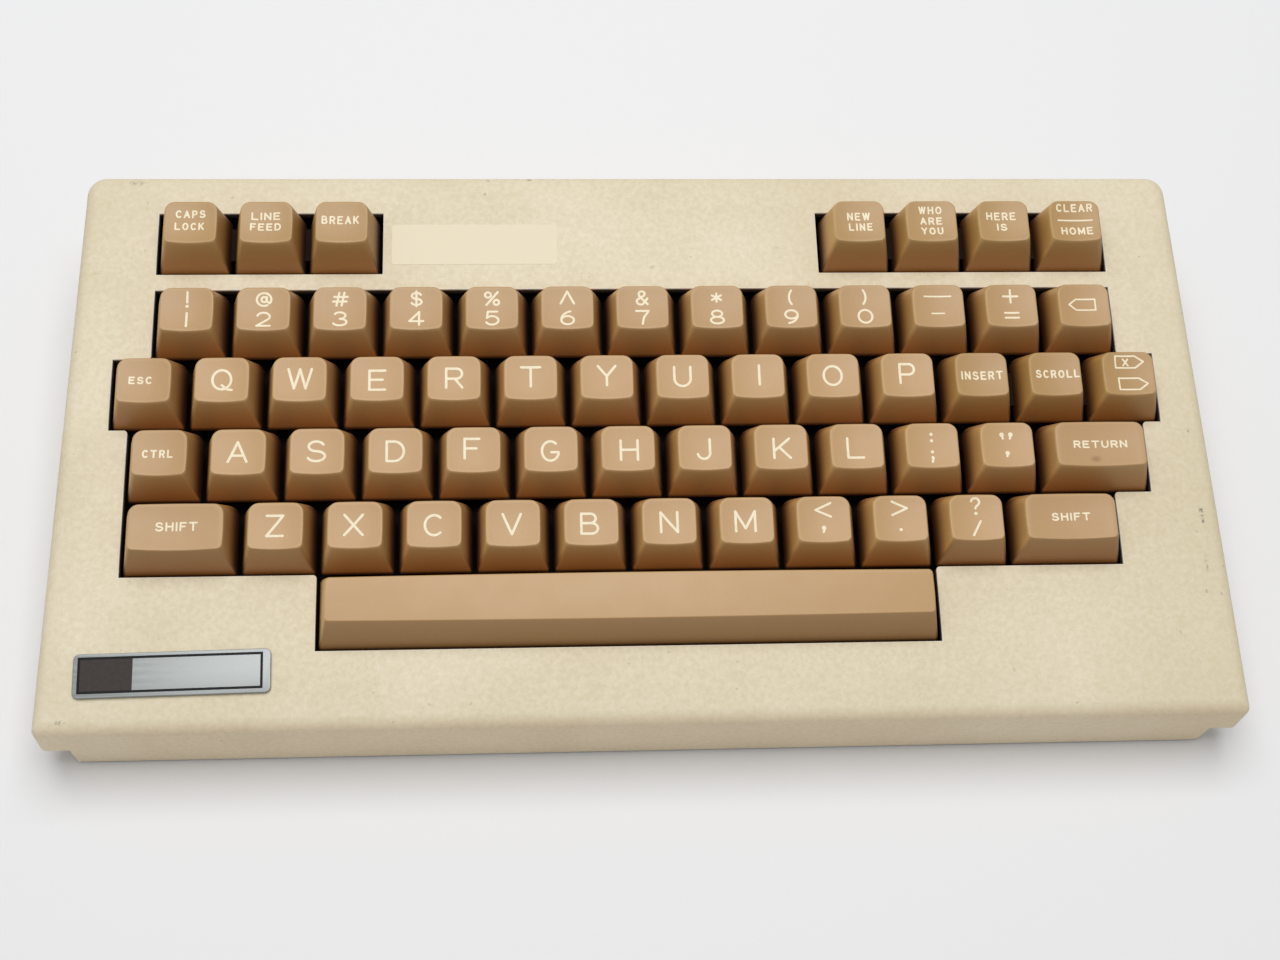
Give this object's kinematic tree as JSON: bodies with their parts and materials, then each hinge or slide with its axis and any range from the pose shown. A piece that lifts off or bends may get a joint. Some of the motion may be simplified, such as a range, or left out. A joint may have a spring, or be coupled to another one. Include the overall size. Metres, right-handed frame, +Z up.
{
  "type": "teleprinter keyboard",
  "caption": "Low wedge-shaped keyboard of a teleprinter: beige two-shell case with travelling brown key caps on switches, a stabilised space bar and a cord socket.",
  "frame": {"origin": "middle of the footprint, on the surface that the feet stand on", "axes": "+X to the typist's right, +Y to the back, +Z up"},
  "size_m": [0.296, 0.147, 0.0482],
  "materials": {
    "case_plastic": "fine-textured beige moulding, slightly yellowed",
    "key_plastic": "smooth satin tan brown moulding",
    "legend_plastic": "cream letters moulded through the caps",
    "plate_steel": "dull zinc-plated sheet",
    "board_laminate": "green laminate board",
    "wire_steel": "bright spring wire",
    "screw_steel": "zinc-plated screws",
    "socket_plastic": "black moulding",
    "nameplate_metal": "satin aluminium plate",
    "nameplate_print": "black printed panel and frame, bare of words",
    "label_film": "thin clear film label, bare of words"
  },
  "bodies": {
    "case": {"upper_case": "case_plastic", "lower_case": "case_plastic", "mounting_plate": "plate_steel", "switch_board": "board_laminate", "cord_socket": "socket_plastic", "nameplate": "nameplate_metal"},
    "stabiliser": {"space_bar_stabiliser": "wire_steel"},
    "key_1": {"key_1": "key_plastic"},
    "key_2": {"key_2": "key_plastic"},
    "key_3": {"key_3": "key_plastic"},
    "key_4": {"key_4": "key_plastic"},
    "key_5": {"key_5": "key_plastic"},
    "key_6": {"key_6": "key_plastic"},
    "key_7": {"key_7": "key_plastic"},
    "key_8": {"key_8": "key_plastic"},
    "key_9": {"key_9": "key_plastic"},
    "key_0": {"key_0": "key_plastic"},
    "key_minus": {"key_minus": "key_plastic"},
    "key_equals": {"key_equals": "key_plastic"},
    "key_backspace": {"key_backspace": "key_plastic"},
    "key_escape": {"key_escape": "key_plastic"},
    "key_q": {"key_q": "key_plastic"},
    "key_w": {"key_w": "key_plastic"},
    "key_e": {"key_e": "key_plastic"},
    "key_r": {"key_r": "key_plastic"},
    "key_t": {"key_t": "key_plastic"},
    "key_y": {"key_y": "key_plastic"},
    "key_u": {"key_u": "key_plastic"},
    "key_i": {"key_i": "key_plastic"},
    "key_o": {"key_o": "key_plastic"},
    "key_p": {"key_p": "key_plastic"},
    "key_control": {"key_control": "key_plastic"},
    "key_a": {"key_a": "key_plastic"},
    "key_s": {"key_s": "key_plastic"},
    "key_d": {"key_d": "key_plastic"},
    "key_f": {"key_f": "key_plastic"},
    "key_g": {"key_g": "key_plastic"},
    "key_h": {"key_h": "key_plastic"},
    "key_j": {"key_j": "key_plastic"},
    "key_k": {"key_k": "key_plastic"},
    "key_l": {"key_l": "key_plastic"},
    "key_semicolon": {"key_semicolon": "key_plastic"},
    "key_quote": {"key_quote": "key_plastic"},
    "key_return": {"key_return": "key_plastic"},
    "key_shift_left": {"key_shift_left": "key_plastic"},
    "key_z": {"key_z": "key_plastic"},
    "key_x": {"key_x": "key_plastic"},
    "key_c": {"key_c": "key_plastic"},
    "key_v": {"key_v": "key_plastic"},
    "key_b": {"key_b": "key_plastic"},
    "key_n": {"key_n": "key_plastic"},
    "key_m": {"key_m": "key_plastic"},
    "key_comma": {"key_comma": "key_plastic"},
    "key_period": {"key_period": "key_plastic"},
    "key_slash": {"key_slash": "key_plastic"},
    "key_shift_right": {"key_shift_right": "key_plastic"},
    "function_keys_left": {"function_keys_left": "key_plastic"},
    "editing_keys": {"editing_keys": "key_plastic"},
    "function_keys_right": {"function_keys_right": "key_plastic"},
    "space_bar": {"space_bar": "key_plastic"}
  },
  "joints": [
    {"name": "key_1_press", "type": "slide", "parent": "case", "child": "key_1", "axis": [0, 0.1132, -0.9936], "range_m": [0, 0.004], "stiffness_N_per_m": 150, "springref_m": -0.002},
    {"name": "key_2_press", "type": "slide", "parent": "case", "child": "key_2", "axis": [0, 0.1132, -0.9936], "range_m": [0, 0.004], "stiffness_N_per_m": 150, "springref_m": -0.002},
    {"name": "key_3_press", "type": "slide", "parent": "case", "child": "key_3", "axis": [0, 0.1132, -0.9936], "range_m": [0, 0.004], "stiffness_N_per_m": 150, "springref_m": -0.002},
    {"name": "key_4_press", "type": "slide", "parent": "case", "child": "key_4", "axis": [0, 0.1132, -0.9936], "range_m": [0, 0.004], "stiffness_N_per_m": 150, "springref_m": -0.002},
    {"name": "key_5_press", "type": "slide", "parent": "case", "child": "key_5", "axis": [0, 0.1132, -0.9936], "range_m": [0, 0.004], "stiffness_N_per_m": 150, "springref_m": -0.002},
    {"name": "key_6_press", "type": "slide", "parent": "case", "child": "key_6", "axis": [0, 0.1132, -0.9936], "range_m": [0, 0.004], "stiffness_N_per_m": 150, "springref_m": -0.002},
    {"name": "key_7_press", "type": "slide", "parent": "case", "child": "key_7", "axis": [0, 0.1132, -0.9936], "range_m": [0, 0.004], "stiffness_N_per_m": 150, "springref_m": -0.002},
    {"name": "key_8_press", "type": "slide", "parent": "case", "child": "key_8", "axis": [0, 0.1132, -0.9936], "range_m": [0, 0.004], "stiffness_N_per_m": 150, "springref_m": -0.002},
    {"name": "key_9_press", "type": "slide", "parent": "case", "child": "key_9", "axis": [0, 0.1132, -0.9936], "range_m": [0, 0.004], "stiffness_N_per_m": 150, "springref_m": -0.002},
    {"name": "key_0_press", "type": "slide", "parent": "case", "child": "key_0", "axis": [0, 0.1132, -0.9936], "range_m": [0, 0.004], "stiffness_N_per_m": 150, "springref_m": -0.002},
    {"name": "key_minus_press", "type": "slide", "parent": "case", "child": "key_minus", "axis": [0, 0.1132, -0.9936], "range_m": [0, 0.004], "stiffness_N_per_m": 150, "springref_m": -0.002},
    {"name": "key_equals_press", "type": "slide", "parent": "case", "child": "key_equals", "axis": [0, 0.1132, -0.9936], "range_m": [0, 0.004], "stiffness_N_per_m": 150, "springref_m": -0.002},
    {"name": "key_backspace_press", "type": "slide", "parent": "case", "child": "key_backspace", "axis": [0, 0.1132, -0.9936], "range_m": [0, 0.004], "stiffness_N_per_m": 150, "springref_m": -0.002},
    {"name": "key_escape_press", "type": "slide", "parent": "case", "child": "key_escape", "axis": [0, 0.1132, -0.9936], "range_m": [0, 0.004], "stiffness_N_per_m": 150, "springref_m": -0.002},
    {"name": "key_q_press", "type": "slide", "parent": "case", "child": "key_q", "axis": [0, 0.1132, -0.9936], "range_m": [0, 0.004], "stiffness_N_per_m": 150, "springref_m": -0.002},
    {"name": "key_w_press", "type": "slide", "parent": "case", "child": "key_w", "axis": [0, 0.1132, -0.9936], "range_m": [0, 0.004], "stiffness_N_per_m": 150, "springref_m": -0.002},
    {"name": "key_e_press", "type": "slide", "parent": "case", "child": "key_e", "axis": [0, 0.1132, -0.9936], "range_m": [0, 0.004], "stiffness_N_per_m": 150, "springref_m": -0.002},
    {"name": "key_r_press", "type": "slide", "parent": "case", "child": "key_r", "axis": [0, 0.1132, -0.9936], "range_m": [0, 0.004], "stiffness_N_per_m": 150, "springref_m": -0.002},
    {"name": "key_t_press", "type": "slide", "parent": "case", "child": "key_t", "axis": [0, 0.1132, -0.9936], "range_m": [0, 0.004], "stiffness_N_per_m": 150, "springref_m": -0.002},
    {"name": "key_y_press", "type": "slide", "parent": "case", "child": "key_y", "axis": [0, 0.1132, -0.9936], "range_m": [0, 0.004], "stiffness_N_per_m": 150, "springref_m": -0.002},
    {"name": "key_u_press", "type": "slide", "parent": "case", "child": "key_u", "axis": [0, 0.1132, -0.9936], "range_m": [0, 0.004], "stiffness_N_per_m": 150, "springref_m": -0.002},
    {"name": "key_i_press", "type": "slide", "parent": "case", "child": "key_i", "axis": [0, 0.1132, -0.9936], "range_m": [0, 0.004], "stiffness_N_per_m": 150, "springref_m": -0.002},
    {"name": "key_o_press", "type": "slide", "parent": "case", "child": "key_o", "axis": [0, 0.1132, -0.9936], "range_m": [0, 0.004], "stiffness_N_per_m": 150, "springref_m": -0.002},
    {"name": "key_p_press", "type": "slide", "parent": "case", "child": "key_p", "axis": [0, 0.1132, -0.9936], "range_m": [0, 0.004], "stiffness_N_per_m": 150, "springref_m": -0.002},
    {"name": "key_control_press", "type": "slide", "parent": "case", "child": "key_control", "axis": [0, 0.1132, -0.9936], "range_m": [0, 0.004], "stiffness_N_per_m": 150, "springref_m": -0.002},
    {"name": "key_a_press", "type": "slide", "parent": "case", "child": "key_a", "axis": [0, 0.1132, -0.9936], "range_m": [0, 0.004], "stiffness_N_per_m": 150, "springref_m": -0.002},
    {"name": "key_s_press", "type": "slide", "parent": "case", "child": "key_s", "axis": [0, 0.1132, -0.9936], "range_m": [0, 0.004], "stiffness_N_per_m": 150, "springref_m": -0.002},
    {"name": "key_d_press", "type": "slide", "parent": "case", "child": "key_d", "axis": [0, 0.1132, -0.9936], "range_m": [0, 0.004], "stiffness_N_per_m": 150, "springref_m": -0.002},
    {"name": "key_f_press", "type": "slide", "parent": "case", "child": "key_f", "axis": [0, 0.1132, -0.9936], "range_m": [0, 0.004], "stiffness_N_per_m": 150, "springref_m": -0.002},
    {"name": "key_g_press", "type": "slide", "parent": "case", "child": "key_g", "axis": [0, 0.1132, -0.9936], "range_m": [0, 0.004], "stiffness_N_per_m": 150, "springref_m": -0.002},
    {"name": "key_h_press", "type": "slide", "parent": "case", "child": "key_h", "axis": [0, 0.1132, -0.9936], "range_m": [0, 0.004], "stiffness_N_per_m": 150, "springref_m": -0.002},
    {"name": "key_j_press", "type": "slide", "parent": "case", "child": "key_j", "axis": [0, 0.1132, -0.9936], "range_m": [0, 0.004], "stiffness_N_per_m": 150, "springref_m": -0.002},
    {"name": "key_k_press", "type": "slide", "parent": "case", "child": "key_k", "axis": [0, 0.1132, -0.9936], "range_m": [0, 0.004], "stiffness_N_per_m": 150, "springref_m": -0.002},
    {"name": "key_l_press", "type": "slide", "parent": "case", "child": "key_l", "axis": [0, 0.1132, -0.9936], "range_m": [0, 0.004], "stiffness_N_per_m": 150, "springref_m": -0.002},
    {"name": "key_semicolon_press", "type": "slide", "parent": "case", "child": "key_semicolon", "axis": [0, 0.1132, -0.9936], "range_m": [0, 0.004], "stiffness_N_per_m": 150, "springref_m": -0.002},
    {"name": "key_quote_press", "type": "slide", "parent": "case", "child": "key_quote", "axis": [0, 0.1132, -0.9936], "range_m": [0, 0.004], "stiffness_N_per_m": 150, "springref_m": -0.002},
    {"name": "key_return_press", "type": "slide", "parent": "case", "child": "key_return", "axis": [0, 0.1132, -0.9936], "range_m": [0, 0.004], "stiffness_N_per_m": 150, "springref_m": -0.002},
    {"name": "key_shift_left_press", "type": "slide", "parent": "case", "child": "key_shift_left", "axis": [0, 0.1132, -0.9936], "range_m": [0, 0.004], "stiffness_N_per_m": 150, "springref_m": -0.002},
    {"name": "key_z_press", "type": "slide", "parent": "case", "child": "key_z", "axis": [0, 0.1132, -0.9936], "range_m": [0, 0.004], "stiffness_N_per_m": 150, "springref_m": -0.002},
    {"name": "key_x_press", "type": "slide", "parent": "case", "child": "key_x", "axis": [0, 0.1132, -0.9936], "range_m": [0, 0.004], "stiffness_N_per_m": 150, "springref_m": -0.002},
    {"name": "key_c_press", "type": "slide", "parent": "case", "child": "key_c", "axis": [0, 0.1132, -0.9936], "range_m": [0, 0.004], "stiffness_N_per_m": 150, "springref_m": -0.002},
    {"name": "key_v_press", "type": "slide", "parent": "case", "child": "key_v", "axis": [0, 0.1132, -0.9936], "range_m": [0, 0.004], "stiffness_N_per_m": 150, "springref_m": -0.002},
    {"name": "key_b_press", "type": "slide", "parent": "case", "child": "key_b", "axis": [0, 0.1132, -0.9936], "range_m": [0, 0.004], "stiffness_N_per_m": 150, "springref_m": -0.002},
    {"name": "key_n_press", "type": "slide", "parent": "case", "child": "key_n", "axis": [0, 0.1132, -0.9936], "range_m": [0, 0.004], "stiffness_N_per_m": 150, "springref_m": -0.002},
    {"name": "key_m_press", "type": "slide", "parent": "case", "child": "key_m", "axis": [0, 0.1132, -0.9936], "range_m": [0, 0.004], "stiffness_N_per_m": 150, "springref_m": -0.002},
    {"name": "key_comma_press", "type": "slide", "parent": "case", "child": "key_comma", "axis": [0, 0.1132, -0.9936], "range_m": [0, 0.004], "stiffness_N_per_m": 150, "springref_m": -0.002},
    {"name": "key_period_press", "type": "slide", "parent": "case", "child": "key_period", "axis": [0, 0.1132, -0.9936], "range_m": [0, 0.004], "stiffness_N_per_m": 150, "springref_m": -0.002},
    {"name": "key_slash_press", "type": "slide", "parent": "case", "child": "key_slash", "axis": [0, 0.1132, -0.9936], "range_m": [0, 0.004], "stiffness_N_per_m": 150, "springref_m": -0.002},
    {"name": "key_shift_right_press", "type": "slide", "parent": "case", "child": "key_shift_right", "axis": [0, 0.1132, -0.9936], "range_m": [0, 0.004], "stiffness_N_per_m": 150, "springref_m": -0.002},
    {"name": "function_keys_left_press", "type": "slide", "parent": "case", "child": "function_keys_left", "axis": [0, 0.1132, -0.9936], "range_m": [0, 0.004], "stiffness_N_per_m": 450, "springref_m": -0.002},
    {"name": "editing_keys_press", "type": "slide", "parent": "case", "child": "editing_keys", "axis": [0, 0.1132, -0.9936], "range_m": [0, 0.004], "stiffness_N_per_m": 450, "springref_m": -0.002},
    {"name": "function_keys_right_press", "type": "slide", "parent": "case", "child": "function_keys_right", "axis": [0, 0.1132, -0.9936], "range_m": [0, 0.004], "stiffness_N_per_m": 600, "springref_m": -0.002},
    {"name": "space_bar_press", "type": "slide", "parent": "case", "child": "space_bar", "axis": [0, 0.1132, -0.9936], "range_m": [0, 0.004], "stiffness_N_per_m": 200, "springref_m": -0.002},
    {"name": "stabiliser_turn", "type": "hinge", "parent": "case", "child": "stabiliser", "pos_m": [-0.00476, -0.05623, 0.01832], "axis": [-1, 0, 0], "range_deg": [0, 19.2]}
  ],
  "couplings": [
    {"joint": "stabiliser_turn", "follows": "space_bar_press", "rad_per_m": 83.724}
  ]
}
